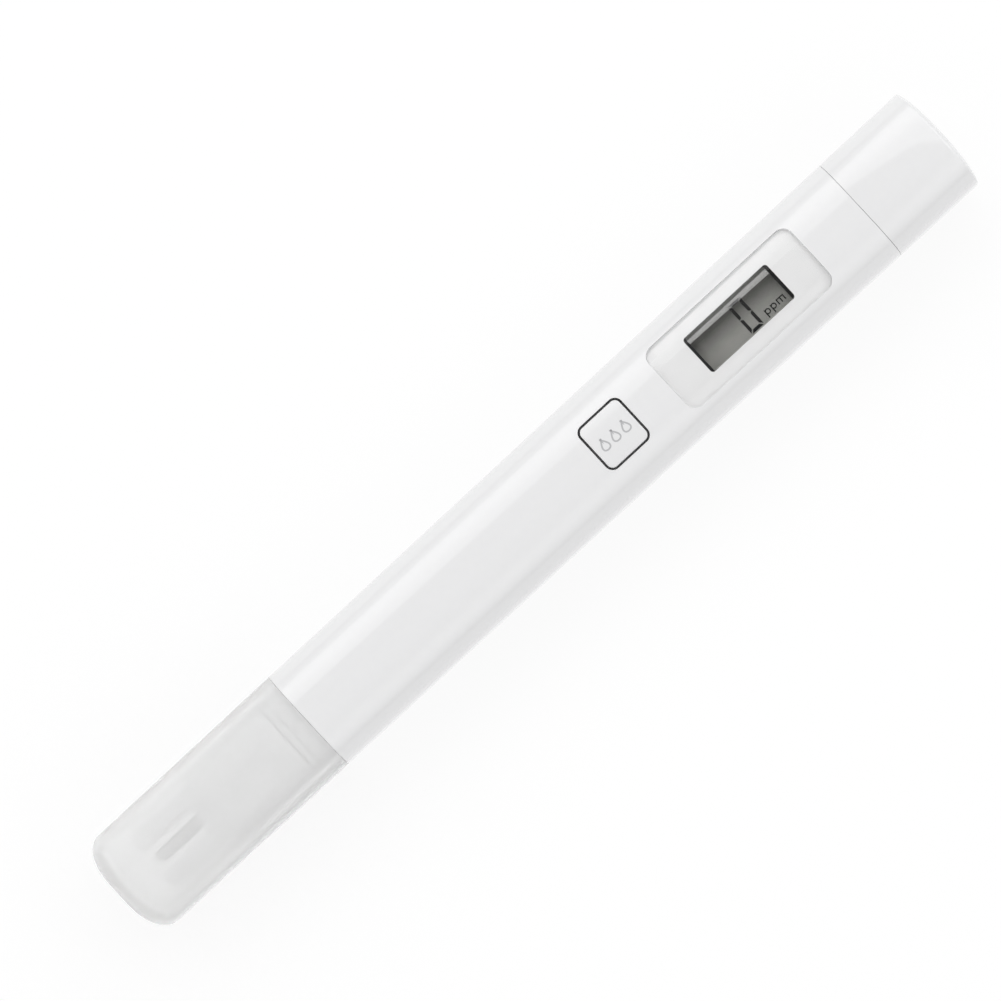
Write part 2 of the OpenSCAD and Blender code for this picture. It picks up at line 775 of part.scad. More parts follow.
body_shell();
tip_cap();
end_cap();
button_cap();
button_pad();
display_lens();
lens_mask();
lcd_frame();
lcd_polarizer();
lcd_segments();
lcd_front_glass();
lcd_rear_glass();
lcd_reflector();
zebra_strip(1);  // zebra_strip_left
zebra_strip(-1);  // zebra_strip_right
circuit_board();
controller_chip();
chip_resistors();
chip_capacitors();
switch_body();
switch_plunger();
chassis();
board_screws();
probe_holder();
probe_pin(pin_z[0]);  // probe_pin_front
probe_pin(pin_z[1]);  // probe_pin_rear
probe_lead(0);  // probe_lead_front
probe_lead(1);  // probe_lead_rear
thermistor();
thermistor_leads();
tip_o_ring();
end_seal();
battery_housing();
battery_cell(cell_start_x);  // battery_cell_inner
battery_cell(cell_start_x + cell_height + contact_play);  // battery_cell_outer
battery_spring();
battery_strip();
spring_tab();
end_contact();
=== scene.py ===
import math

import bmesh
import bpy
from mathutils import Matrix, Vector


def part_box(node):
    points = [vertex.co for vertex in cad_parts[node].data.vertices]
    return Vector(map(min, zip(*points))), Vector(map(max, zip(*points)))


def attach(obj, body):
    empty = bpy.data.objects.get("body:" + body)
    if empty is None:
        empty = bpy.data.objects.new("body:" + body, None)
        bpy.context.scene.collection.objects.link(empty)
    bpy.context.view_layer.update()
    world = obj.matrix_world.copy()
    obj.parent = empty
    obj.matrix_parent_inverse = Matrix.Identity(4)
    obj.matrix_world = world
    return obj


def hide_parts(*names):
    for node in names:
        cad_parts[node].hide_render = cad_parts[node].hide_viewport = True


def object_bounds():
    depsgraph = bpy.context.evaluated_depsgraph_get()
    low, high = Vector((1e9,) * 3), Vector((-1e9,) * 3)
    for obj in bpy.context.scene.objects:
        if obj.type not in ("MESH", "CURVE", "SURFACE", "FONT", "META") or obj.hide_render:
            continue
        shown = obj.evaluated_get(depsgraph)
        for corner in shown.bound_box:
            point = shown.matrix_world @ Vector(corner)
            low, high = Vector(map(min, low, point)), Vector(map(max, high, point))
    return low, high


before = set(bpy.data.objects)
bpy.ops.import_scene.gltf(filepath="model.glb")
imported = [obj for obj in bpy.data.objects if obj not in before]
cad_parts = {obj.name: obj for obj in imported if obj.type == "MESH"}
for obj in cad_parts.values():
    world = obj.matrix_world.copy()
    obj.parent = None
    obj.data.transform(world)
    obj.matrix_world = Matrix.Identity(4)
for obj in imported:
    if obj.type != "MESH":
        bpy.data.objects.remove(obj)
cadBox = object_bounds()

mm = 0.001


# the pen's outline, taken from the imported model
def middle(node):
    low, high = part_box(node)
    return (low + high) / 2


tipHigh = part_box("tip_cap")[1]
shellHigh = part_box("body_shell")[1]
mouthX = tipHigh.x
endSeamX = shellHigh.x
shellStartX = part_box("body_shell")[0].x
penTipX, penEndX = cadBox[0][0], cadBox[1][0]
axisZ = middle("thermistor").z
halfDeep = cadBox[1][2] - axisZ
backFlat = halfDeep - axisZ
taper = (shellHigh.y - tipHigh.y) / (endSeamX - mouthX)
section = 3.0  # the outline's power: 2 is an ellipse
seamEdge = 0.012 * mm  # rounding of the edges that meet at a joint line


def halfWide(x):
    return tipHigh.y + taper * (x - mouthX)


def faceZ(x, y, sink=0.0):
    # height of the pen's face, or of a layer that lies under it
    across = min(abs(y) / (halfWide(x) - sink), 1.0)
    return axisZ + (halfDeep - sink) * (1 - across**section) ** (1 / section)


def faceNormal(x, y, z):
    across = abs(y) / halfWide(x)
    up = abs(z - axisZ) / halfDeep
    normal = Vector((
        -taper * across**section,
        math.copysign(across ** (section - 1), y) / halfWide(x),
        math.copysign(up ** (section - 1), z - axisZ) / halfDeep,
    ))
    return normal.normalized()


def ring(x, inset=0.0, power=section, bow=0.0, halfW=None, halfD=None):
    # one ring of a loft: the pen's own outline taken in, or an outline of a given size
    return dict(
        x=x, power=power, bow=bow,
        halfW=halfWide(x) - inset if halfW is None else halfW - inset,
        halfD=halfDeep - inset if halfD is None else halfD - inset,
    )


def placeRing(verts, turnLayer, at):
    power = 2 / at["power"]
    for v in verts:
        c, s = math.cos(v[turnLayer]), math.sin(v[turnLayer])
        y = at["halfW"] * math.copysign(abs(c) ** power, c)
        z = at["halfD"] * math.copysign(abs(s) ** power, s)
        if at["power"] > 2:
            z = max(z, backFlat - at["halfD"])
        bow = at["bow"] * (y / halfWide(at["x"])) ** 2
        v.co = (at["x"] - bow, y, axisZ + z)


def loft(bm, rings, steps=160):
    # a skin through the rings in order; a ring of no size closes an end, and the first ring may come again
    turnLayer = bm.verts.layers.float.get("turn") or bm.verts.layers.float.new("turn")
    verts = bmesh.ops.create_circle(bm, segments=steps, radius=1)["verts"]
    for v in verts:
        v[turnLayer] = math.atan2(v.co.y, v.co.x)
    edges = list({e for v in verts for e in v.link_edges})
    made = list(verts)
    placeRing(verts, turnLayer, rings[0])
    for at in rings[1:]:
        grown = bmesh.ops.extrude_edge_only(bm, edges=edges)["geom"]
        verts = {g for g in grown if isinstance(g, bmesh.types.BMVert)}
        edges = [g for g in grown if isinstance(g, bmesh.types.BMEdge) and set(g.verts) <= verts]
        placeRing(verts, turnLayer, at)
        made += list(verts)
    bmesh.ops.remove_doubles(bm, verts=made, dist=1e-7)


def quarterTurn(steps):
    return [math.pi / 2 * k / steps for k in range(steps + 1)]


def roundedEdge(radius, steps=5):
    # (along, inset) from an end face round to the side
    return [(radius * (1 - math.cos(a)), radius * (1 - math.sin(a))) for a in quarterTurn(steps)]


def plate(x, length, width, corner, layers, pitch=0.3 * mm):
    # a rounded rectangle built up in layers (grow, depth under the face, or a fixed height)
    bm = bmesh.new()
    verts = bmesh.ops.create_grid(bm, x_segments=1, y_segments=1, size=0.5)["verts"]
    bmesh.ops.scale(bm, vec=(length, width, 1), verts=verts)
    bmesh.ops.bevel(
        bm, geom=verts, offset=corner, offset_type="OFFSET", segments=8, profile=0.5,
        affect="VERTICES", material=-1,
    )
    for axis, span in ((0, length), (1, width)):
        across = span - 2 * corner
        cuts = max(2, round(across / (pitch if axis else 5 * pitch)))
        for k in range(cuts + 1):
            at, normal = [0, 0, 0], [0, 0, 0]
            at[axis], normal[axis] = -across / 2 + across * k / cuts, 1
            geom = bm.verts[:] + bm.edges[:] + bm.faces[:]
            bmesh.ops.bisect_plane(bm, geom=geom, dist=1e-8, plane_co=at, plane_no=normal)
    names = ("rim", "flatX", "flatY")
    for name in names:
        bm.verts.layers.float.new(name)
    rim, flatX, flatY = (bm.verts.layers.float[name] for name in names)
    verts, faces = bm.verts[:], bm.faces[:]
    for v in verts:
        v[rim], v[flatX], v[flatY] = float(v.is_boundary), v.co.x, v.co.y
    coreX, coreY = length / 2 - corner, width / 2 - corner

    def place(moved, grow, depth, height):
        for v in moved:
            px, py = v[flatX], v[flatY]
            if v[rim] > 0.5:
                cx, cy = max(-coreX, min(coreX, px)), max(-coreY, min(coreY, py))
                px, py = cx + (px - cx) * (corner + grow) / corner, cy + (py - cy) * (corner + grow) / corner
            z = faceZ(x + px, py) - depth if height is None else height
            v.co = (x + px, py, z)

    place(verts, *layers[0])
    for number, layer in enumerate(layers[1:]):
        spent = faces if number else []
        grown = bmesh.ops.extrude_face_region(bm, geom=faces)["geom"]
        if spent:
            bmesh.ops.delete(bm, geom=spent, context="FACES")
        verts = [g for g in grown if isinstance(g, bmesh.types.BMVert)]
        faces = [g for g in grown if isinstance(g, bmesh.types.BMFace)]
        place(verts, *layer)
    return bm


def under(depth, grow=0.0):
    return (grow, depth, None)


def fixed(height, grow=0.0):
    return (grow, 0.0, height)


def softRim(radius, sink=0.0, steps=4):
    # layers up a side and over its rounded top edge
    return [under(sink + radius * (1 - math.sin(a)), -radius * (1 - math.cos(a))) for a in quarterTurn(steps)]


def flaredRim(radius, steps=4):
    # layers of a cutter that leaves a rounded mouth round its hole, and crosses the face at a slant
    crossing, above = 0.8, 0.8 * mm  # where the rounding meets the face, and how far the cutter stands past it
    rounded = [under(radius * (crossing - math.sin(a)), radius * (1 - math.cos(a))) for a in quarterTurn(steps)]
    return rounded + [under(-above, radius)]


def turned(bm, profile, steps=96, z=None):
    # a round part turned about a line along X; the profile is (x, radius)
    z = axisZ if z is None else z
    verts = [bm.verts.new((x, r, z)) for x, r in profile]
    edges = [bm.edges.new(pair) for pair in zip(verts, verts[1:])]
    spun = bmesh.ops.spin(
        bm, geom=verts + edges, cent=(0, 0, z), axis=(1, 0, 0), angle=2 * math.pi, steps=steps, use_merge=True
    )
    bmesh.ops.remove_doubles(bm, verts=bm.verts, dist=1e-7)


def swept(bm, path, radius, sides=16, closed=False):
    # a round wire along a path of points
    path = [Vector(p) for p in path]
    count = len(path)
    verts = bmesh.ops.create_circle(bm, segments=sides, radius=radius)["verts"]
    home = {v: v.co.copy() for v in verts}
    edges = list({e for v in verts for e in v.link_edges})
    firstEdges, side = list(edges), None
    for k, point in enumerate(path):
        ahead = path[(k + 1) % count] if closed or k < count - 1 else point
        behind = path[k - 1] if closed or k > 0 else point
        along = (ahead - behind).normalized()
        if side is None:
            side = along.orthogonal().normalized()
        side = (side - along * side.dot(along)).normalized()
        lift = along.cross(side)
        if k > 0:
            pairs = {}
            grown = bmesh.ops.extrude_edge_only(bm, edges=edges)["geom"]
            fresh = [g for g in grown if isinstance(g, bmesh.types.BMVert)]
            for v in fresh:
                old = next(e.other_vert(v) for e in v.link_edges if e.other_vert(v) in home)
                pairs[v] = home[old]
            edges = [g for g in grown if isinstance(g, bmesh.types.BMEdge) and set(g.verts) <= set(fresh)]
            home = pairs
        for v, flat in home.items():
            v.co = point + side * flat.x + lift * flat.y
    if closed:
        bmesh.ops.bridge_loops(bm, edges=firstEdges + edges)
    else:
        bmesh.ops.holes_fill(bm, edges=bm.edges, sides=sides)


def meshOf(bm, name, sharp=40):
    bmesh.ops.recalc_face_normals(bm, faces=bm.faces)
    mesh = bpy.data.meshes.new(name)
    bm.to_mesh(mesh)
    bm.free()
    for layer in ("turn", "rim", "flatX", "flatY"):
        if layer in mesh.attributes:
            mesh.attributes.remove(mesh.attributes[layer])
    return smooth(mesh, sharp)


def smooth(mesh, sharp=40):
    for face in mesh.polygons:
        face.use_smooth = True
    mesh.set_sharp_from_angle(angle=math.radians(sharp))
    return mesh


def linked(name, mesh):
    obj = bpy.data.objects.new(name, mesh)
    bpy.context.scene.collection.objects.link(obj)
    return obj


def cut(mesh, cutters):
    # apply each (mesh, operation) in turn and give back the finished mesh; the work is done a thousand times larger
    for part in [mesh] + [cutter for cutter, operation in cutters]:
        part.transform(Matrix.Scale(1 / mm, 4))
    for cutter, operation in cutters:
        block, tool = linked("workPiece", mesh), linked("tool", cutter)
        step = block.modifiers.new("cut", "BOOLEAN")
        step.operation, step.solver, step.object = operation, "EXACT", tool
        shaped = bpy.data.meshes.new_from_object(block.evaluated_get(bpy.context.evaluated_depsgraph_get()))
        for obj in (block, tool):
            bpy.data.objects.remove(obj)
        mesh = shaped
    mesh.transform(Matrix.Scale(mm, 4))
    return mesh


def trueFace(mesh, sink=0.0):
    # corners on the pen's outside take the outline's own normal, so that reflections run true past cut edges
    near, backEdge = 0.0006, 0.3 * mm  # how close to the outline counts as on it, and where the flat back ends
    normals = [Vector(c.vector) for c in mesh.corner_normals]
    points = [v.co for v in mesh.vertices]
    outer = []
    for p in points:
        across, up = abs(p.y) / (halfWide(p.x) - sink), abs(p.z - axisZ) / (halfDeep - sink)
        outer.append(abs((across**section + up**section) ** (1 / section) - 1) < near and p.z > backEdge)
    for face in mesh.polygons:
        if all(outer[v] for v in face.vertices):
            for loop in face.loop_indices:
                p = points[mesh.loops[loop].vertex_index]
                normals[loop] = faceNormal(p.x, p.y, p.z)
    mesh.normals_split_custom_set(normals)


def piece(name, mesh, body, slot, material, *nodes):
    obj = linked(name, mesh)
    mesh.name = name
    mesh.materials.clear()
    mesh.materials.append(material)
    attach(obj, body)
    if nodes:
        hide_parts(*nodes)
    return obj


def surface(name, colour, rough, vary=0.02, grain=900, roughVary=0.03, bump=0.03, bumpGrain=4000,
            stretch=(1, 1, 1), **sockets):
    # a moulded or machined finish: mottled colour and gloss, and a fine skin, with uniform values on the shader
    made = bpy.data.materials.new(name)
    made.use_nodes = True
    nodes, links = made.node_tree.nodes, made.node_tree.links
    shader = nodes["Principled BSDF"]
    for socket, value in sockets.items():
        shader.inputs[socket.replace("_", " ")].default_value = value
    place, turn = nodes.new("ShaderNodeTexCoord"), nodes.new("ShaderNodeMapping")
    turn.inputs["Scale"].default_value = stretch
    links.new(place.outputs["Object"], turn.inputs["Vector"])
    noises = []
    for scale, detail in ((grain, 4), (grain * 0.37, 2), (bumpGrain, 2)):
        noise = nodes.new("ShaderNodeTexNoise")
        noise.inputs["Scale"].default_value = scale
        noise.inputs["Detail"].default_value = detail
        links.new(turn.outputs["Vector"], noise.inputs["Vector"])
        noises.append(noise)
    tones = nodes.new("ShaderNodeValToRGB")
    for element, share, at in zip(tones.color_ramp.elements, (1 - vary, 1 + vary), (0.3, 0.7)):
        element.position = at
        element.color = [min(1.0, c * share) for c in colour] + [1]
    links.new(noises[0].outputs["Fac"], tones.inputs["Fac"])
    links.new(tones.outputs["Color"], shader.inputs["Base Color"])
    gloss = nodes.new("ShaderNodeMapRange")
    gloss.inputs["To Min"].default_value = max(0.0, rough - roughVary)
    gloss.inputs["To Max"].default_value = rough + roughVary
    links.new(noises[1].outputs["Fac"], gloss.inputs["Value"])
    links.new(gloss.outputs["Result"], shader.inputs["Roughness"])
    skin = nodes.new("ShaderNodeBump")
    skin.inputs["Strength"].default_value = bump
    skin.inputs["Distance"].default_value = 0.02 * mm
    links.new(noises[2].outputs["Fac"], skin.inputs["Height"])
    links.new(skin.outputs["Normal"], shader.inputs["Normal"])
    return made


def paintShadeAcross(made, dark, paleY, darkY):
    # painted shade: the finish darkens steadily across the piece, from paleY to darkY, standing in for the shadow
    # that a raised edge casts on it
    nodes, links = made.node_tree.nodes, made.node_tree.links
    colour = nodes["Principled BSDF"].inputs["Base Color"]
    place, split, across, scaled = (
        nodes.new("ShaderNode" + kind) for kind in ("TexCoord", "SeparateXYZ", "MapRange", "VectorMath")
    )
    scaled.operation = "SCALE"
    for socket, value in (("From Min", paleY), ("From Max", darkY), ("To Min", 1.0), ("To Max", dark)):
        across.inputs[socket].default_value = value
    links.new(place.outputs["Object"], split.inputs["Vector"])
    links.new(split.outputs["Y"], across.inputs["Value"])
    links.new(colour.links[0].from_socket, scaled.inputs[0])
    links.new(across.outputs["Result"], scaled.inputs["Scale"])
    links.new(scaled.outputs["Vector"], colour)
    return made


def clearSurface(name, tint, index, rough, haze, bow=0.0):
    # clear plastic or film: it lets light straight through, tinted a little unevenly, under a glossy skin that may
    # be bowed slightly across the pen
    made = bpy.data.materials.new(name)
    made.use_nodes = True
    nodes, links = made.node_tree.nodes, made.node_tree.links
    nodes.remove(nodes["Principled BSDF"])
    place, noise, tones = (nodes.new("ShaderNode" + kind) for kind in ("TexCoord", "TexNoise", "ValToRGB"))
    noise.inputs["Scale"].default_value = 700
    links.new(place.outputs["Object"], noise.inputs["Vector"])
    for element, share in zip(tones.color_ramp.elements, (1 - haze, 1)):
        element.color = [c * share for c in tint] + [1]
    links.new(noise.outputs["Fac"], tones.inputs["Fac"])
    through, shine, slant, power, share, both = (
        nodes.new("ShaderNode" + kind)
        for kind in ("BsdfTransparent", "BsdfGlossy", "LayerWeight", "Math", "MapRange", "AddShader")
    )
    shine.inputs["Roughness"].default_value = rough
    power.operation = "POWER"
    power.inputs[1].default_value = 5  # the share reflected rises steeply towards a grazing view, from either side
    share.inputs["To Min"].default_value = ((index - 1) / (index + 1)) ** 2
    links.new(slant.outputs["Facing"], power.inputs[0])
    links.new(power.outputs[0], share.inputs["Value"])
    links.new(tones.outputs["Color"], through.inputs["Color"])
    links.new(share.outputs[0], shine.inputs["Color"])
    if bow:
        tilt = nodes.new("ShaderNodeVectorMath")
        tilt.operation = "MULTIPLY_ADD"
        tilt.inputs[1].default_value, tilt.inputs[2].default_value = (0, bow, 0), (0, 0, 1)
        links.new(place.outputs["Object"], tilt.inputs[0])
        unit = nodes.new("ShaderNodeVectorMath")
        unit.operation = "NORMALIZE"
        links.new(tilt.outputs["Vector"], unit.inputs[0])
        links.new(unit.outputs["Vector"], shine.inputs["Normal"])
    links.new(through.outputs[0], both.inputs[0])
    links.new(shine.outputs[0], both.inputs[1])
    links.new(both.outputs[0], nodes["Material Output"].inputs["Surface"])
    return made


print("finishes")
shellPlastic = surface("shellPlastic", (0.80, 0.80, 0.805), 0.05, vary=0.006, roughVary=0.015, bump=0.01, IOR=1.56)
keyPlastic = surface("keyPlastic", (0.79, 0.79, 0.795), 0.12, vary=0.006, roughVary=0.03, bump=0.02, IOR=1.56)
frostedPlastic = surface(
    "frostedPlastic", (1.0, 1.0, 1.0), 0.19, vary=0.01, roughVary=0.04, bump=0.08, IOR=1.15,
    Transmission_Weight=0.55,
)
clearLens = clearSurface("clearLens", (1.0, 1.0, 1.0), 1.3, 0.03, 0.01)
polarizerFilm = clearSurface("polarizerFilm", (0.90, 0.90, 0.89), 2.2, 0.02, 0.03, bow=38)
maskInk = surface("maskInk", (0.70, 0.70, 0.70), 0.45, vary=0.004, bump=0.02)
markInk = surface("markInk", (0.46, 0.46, 0.47), 0.5, vary=0.03, bump=0.1)
silicone = surface("silicone", (0.42, 0.43, 0.44), 0.55, vary=0.04, bump=0.1)
paleSilicone = surface("paleSilicone", (0.74, 0.74, 0.74), 0.5, vary=0.03, bump=0.1)
blackPlastic = surface("blackPlastic", (0.012, 0.012, 0.013), 0.45, vary=0.2, bump=0.1)
displayGlass = surface("displayGlass", (0.72, 0.72, 0.71), 0.3, vary=0.02, grain=2500, bump=0.01)
# painted shade on the display glass: darker towards +Y, standing in for the shadow that the window's edge on the soft
# panel's side casts on the recessed display
paintShadeAcross(displayGlass, 0.25, -2.5 * mm, 1.4 * mm)
displayDark = surface("displayDark", (0.022, 0.022, 0.024), 0.4, vary=0.15, bump=0.02)
reflectorFilm = surface("reflectorFilm", (0.6, 0.6, 0.58), 0.35, vary=0.03, Metallic=0.6, stretch=(1, 8, 1))
zebraRubber = surface("zebraRubber", (0.3, 0.3, 0.32), 0.6, vary=0.6, grain=3000, stretch=(4, 0.1, 0.1))
boardLaminate = surface("boardLaminate", (0.02, 0.12, 0.05), 0.35, vary=0.35, grain=450, bump=0.2, bumpGrain=900)
chipBlack = surface("chipBlack", (0.02, 0.02, 0.021), 0.5, vary=0.3, bump=0.3)
capacitorTan = surface("capacitorTan", (0.42, 0.30, 0.18), 0.5, vary=0.15, grain=1500)
innerPlastic = surface("innerPlastic", (0.74, 0.74, 0.74), 0.3, vary=0.01, bump=0.05)
probePlastic = surface("probePlastic", (0.76, 0.76, 0.765), 0.24, vary=0.01, bump=0.04)
screwSteel = surface("screwSteel", (0.6, 0.6, 0.6), 0.28, vary=0.06, Metallic=1.0)
titanium = surface("titanium", (0.36, 0.35, 0.34), 0.30, vary=0.08, Metallic=1.0, stretch=(0.05, 1, 1), bump=0.15)
redSleeve = surface("redSleeve", (0.5, 0.02, 0.02), 0.4, vary=0.05)
blackSleeve = surface("blackSleeve", (0.02, 0.02, 0.02), 0.4, vary=0.1)
sensorResin = surface("sensorResin", (0.03, 0.03, 0.035), 0.2, vary=0.2, bump=0.15, bumpGrain=1200)
tinnedWire = surface("tinnedWire", (0.7, 0.7, 0.68), 0.3, vary=0.06, Metallic=1.0)
cellSteel = surface("cellSteel", (0.66, 0.66, 0.65), 0.22, vary=0.04, Metallic=1.0, bump=0.1, stretch=(1, 3, 0.3))
springSteel = surface("springSteel", (0.62, 0.61, 0.59), 0.25, vary=0.05, Metallic=1.0, bump=0.08)
contactGold = surface("contactGold", (0.83, 0.62, 0.30), 0.25, vary=0.06, Metallic=1.0, bump=0.1)
gasketBlack = surface("gasketBlack", (0.05, 0.05, 0.05), 0.5, vary=0.2, bump=0.1)

print("body shell")
keyX, displayX = middle("button_cap").x, middle("display_lens").x
shell = dict(
    wall=1.3 * mm, collar=9.2 * mm, collarCorner=1.6 * mm, collarFoot=13.65 * mm,
    keyHole=7.6 * mm, keyHoleCorner=1.2 * mm, keyRim=0.05 * mm, lensGap=0.05 * mm, lensRim=0.06 * mm,
    lensPocket=0.76 * mm, window=(16.1 * mm, 6.9 * mm), windowCorner=0.5 * mm, lensCorner=1.6 * mm,
)
cavityW = min(halfWide(mouthX), halfWide(endSeamX)) - shell["wall"]
cavityD = halfDeep - shell["wall"]
lensLow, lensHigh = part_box("display_lens")
lensLength, lensWidth = lensHigh.x - lensLow.x, lensHigh.y - lensLow.y


def makeBodyShell():
    rim = roundedEdge(seamEdge)
    stations = [k * 8 * mm for k in range(-4, 1)] + [(6 + k) * mm for k in range(50)]
    first = ring(shellStartX, seamEdge)
    rings = [ring(shellStartX + a, i) for a, i in rim] + [ring(x) for x in stations]
    rings += [ring(endSeamX - a, i) for a, i in reversed(rim)]
    rings += [ring(x, halfW=cavityW, halfD=cavityD) for x in (endSeamX, shellStartX)] + [first]
    bm = bmesh.new()
    loft(bm, rings, 192)
    blank = meshOf(bm, "blank")
    collar = plate(keyX, shell["collar"], shell["collar"], shell["collarCorner"],
                   [fixed(shell["collarFoot"]), under(shell["wall"] / 2)])
    keyHole = plate(keyX, shell["keyHole"], shell["keyHole"], shell["keyHoleCorner"],
                    [fixed(12.6 * mm)] + flaredRim(shell["keyRim"]))
    pocket = plate(displayX, lensLength + 2 * shell["lensGap"], lensWidth + 2 * shell["lensGap"],
                   shell["lensCorner"] + shell["lensGap"], [under(shell["lensPocket"])] + flaredRim(shell["lensRim"]))
    window = plate(displayX, *shell["window"], shell["windowCorner"], [fixed(12.6 * mm), under(0.4 * mm)], 0.37 * mm)
    shaped = cut(blank, [(meshOf(collar, "collar"), "UNION")] + [
        (meshOf(bm, "cutter"), "DIFFERENCE") for bm in (keyHole, pocket, window)
    ])
    smooth(shaped)
    trueFace(shaped)
    return shaped


piece("bodyShell", makeBodyShell(), "pen", "shell_plastic", shellPlastic, "body_shell")

print("caps")
tipCap = dict(
    wall=1.3 * mm, floor=1.6 * mm, along=3.2 * mm, across=5.2 * mm, innerAlong=2.6 * mm, innerAcross=4.2 * mm,
    roundSteps=14,
)


def domeRings(endX, side, along, across, steps, inset=0.0, bow=0.0):
    # rings of a rounded end, from its flat middle out to the side
    return [
        ring(endX - side * along * (1 - math.cos(a)), inset + across * (1 - math.sin(a)), bow=bow * math.cos(a))
        for a in quarterTurn(steps)
    ]


def point(x):
    return ring(x, halfW=0.0, halfD=0.0)


def makeTipCap():
    t = tipCap
    boreW, boreD = halfWide(penTipX) - t["wall"], halfDeep - t["wall"]
    innerX = penTipX + t["floor"]
    outer = [point(penTipX)] + domeRings(penTipX, -1, t["along"], t["across"], t["roundSteps"])
    outer += [ring(mouthX - a, i) for a, i in reversed(roundedEdge(seamEdge, 3))]
    inner = [ring(mouthX, halfW=boreW + seamEdge, halfD=boreD + seamEdge)]
    inner += [ring(x, halfW=boreW, halfD=boreD) for x in (mouthX - seamEdge, innerX + t["along"])]
    dome = domeRings(innerX, -1, t["innerAlong"], t["innerAcross"], 8, inset=t["wall"])
    inner += reversed(dome)
    bm = bmesh.new()
    loft(bm, outer + inner + [point(innerX)], 192)
    return meshOf(bm, "tipCap")


piece("tipCap", makeTipCap(), "tip_cap", "frosted_plastic", frostedPlastic, "tip_cap")

endCap = dict(
    wall=1.3 * mm, play=0.12 * mm, along=0.8 * mm, across=1.2 * mm, bow=0.5 * mm,
    sealDeep=0.9 * mm, sealWide=0.78 * mm,
)
endWallX = penEndX - endCap["wall"]
capBoreW, capBoreD = halfWide(endSeamX) - endCap["wall"], halfDeep - endCap["wall"]
endNeckW, endNeckD = capBoreW - endCap["play"], capBoreD - endCap["play"]


def makeEndCap():
    e = endCap
    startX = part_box("end_cap")[0].x
    face = [ring(penEndX, bow=e["bow"], halfW=(halfWide(penEndX) - e["across"]) * f,
                 halfD=(halfDeep - e["across"]) * f) for f in (0.0, 0.15, 0.3, 0.45, 0.6, 0.75, 0.9)]
    outer = face + domeRings(penEndX, 1, e["along"], e["across"], 8, bow=e["bow"])
    outer += [ring(startX + a, i) for a, i in reversed(roundedEdge(seamEdge))]
    sealX = startX + e["sealDeep"]
    inner = [ring(x, halfW=endNeckW + e["sealWide"], halfD=endNeckD + e["sealWide"]) for x in (startX, sealX)]
    inner += [ring(x, halfW=capBoreW, halfD=capBoreD) for x in (sealX, endWallX)] + [point(endWallX)]
    bm = bmesh.new()
    loft(bm, outer + inner, 192)
    return meshOf(bm, "endCap")


piece("endCap", makeEndCap(), "end_cap", "shell_plastic", shellPlastic, "end_cap")

print("key")
key = dict(
    size=6.94 * mm, corner=0.87 * mm, flange=1.0 * mm, flangeTop=13.6 * mm, rim=0.1 * mm, sink=0.03 * mm,
    markWidth=1.5 * mm, markHeight=1.95 * mm, markPitch=1.87 * mm, markStroke=0.22 * mm, markY=-0.22 * mm,
    markLift=0.004 * mm, markThick=0.012 * mm,
)


def makeKey():
    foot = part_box("button_cap")[0].z
    layers = [fixed(foot, key["flange"]), fixed(key["flangeTop"], key["flange"]), fixed(key["flangeTop"])]
    bm = plate(keyX, key["size"], key["size"], key["corner"], layers + softRim(key["rim"], key["sink"]))
    mesh = meshOf(bm, "keyTop")
    trueFace(mesh, key["sink"])
    return mesh


def makeKeyMark():
    # three small outlined water drops in a row
    bm = bmesh.new()
    for k in (-1, 0, 1):
        verts = bmesh.ops.create_circle(bm, cap_ends=True, segments=48, radius=1)["verts"]
        for v in verts:
            turn = math.atan2(v.co.x, v.co.y) % (2 * math.pi)
            across = math.sin(turn) * math.sin(turn / 2) ** 1.5
            v.co.x = keyX + k * key["markPitch"] + 0.65 * key["markWidth"] * across
            v.co.y = key["markY"] + key["markHeight"] / 2 * math.cos(turn)
    filled = bm.faces[:]
    bmesh.ops.inset_region(bm, faces=filled, thickness=key["markStroke"], use_even_offset=True, use_boundary=True)
    bmesh.ops.delete(bm, geom=[f for f in bm.faces if f in filled], context="FACES")
    for v in bm.verts:
        v.co.z = faceZ(v.co.x, v.co.y) - key["sink"] + key["markLift"]
    grown = bmesh.ops.extrude_face_region(bm, geom=bm.faces[:])["geom"]
    for v in grown:
        if isinstance(v, bmesh.types.BMVert):
            v.co.z += key["markThick"]
    return meshOf(bm, "keyMark")


piece("keyTop", makeKey(), "key", "key_plastic", keyPlastic, "button_cap")
piece("keyMark", makeKeyMark(), "key", "mask_ink", markInk)

print("display")
display = dict(lensSink=0.06 * mm, lensRim=0.05 * mm, lensDeep=0.66 * mm, maskDeep=0.735 * mm,
               window=(15.2 * mm, 6.1 * mm), windowCorner=0.5 * mm)


def makeLens():
    bm = plate(displayX, lensLength, lensWidth, shell["lensCorner"],
               [under(display["lensDeep"])] + softRim(display["lensRim"], display["lensSink"]))
    return meshOf(bm, "displayLens")


def makeMask():
    bm = plate(displayX, lensLength, lensWidth, shell["lensCorner"],
               [under(display["maskDeep"]), under(display["lensDeep"] + 0.005 * mm)])
    hole = plate(displayX, *display["window"], display["windowCorner"], [fixed(14 * mm), under(0.2 * mm)])
    return smooth(cut(meshOf(bm, "blank"), [(meshOf(hole, "cutter"), "DIFFERENCE")]))


piece("displayLens", makeLens(), "pen", "clear_lens", clearLens, "display_lens")
piece("displayMask", makeMask(), "pen", "mask_ink", maskInk, "lens_mask")

print("probe")
probe = dict(
    neckW=halfWide(penTipX) - 1.42 * mm, neckD=halfDeep - 1.42 * mm, plugPlay=0.1 * mm,
    ringWire=1.2 * mm, grooveHalf=0.7 * mm, grooveDeep=1.16 * mm, shoulder=2.2 * mm, guardInset=1.5 * mm,
    guardRound=1.4 * mm, slotWidth=4.6 * mm, slotX=middle("thermistor").x - 3 * mm, pinRadius=0.8 * mm,
)
ringX = middle("tip_o_ring").x


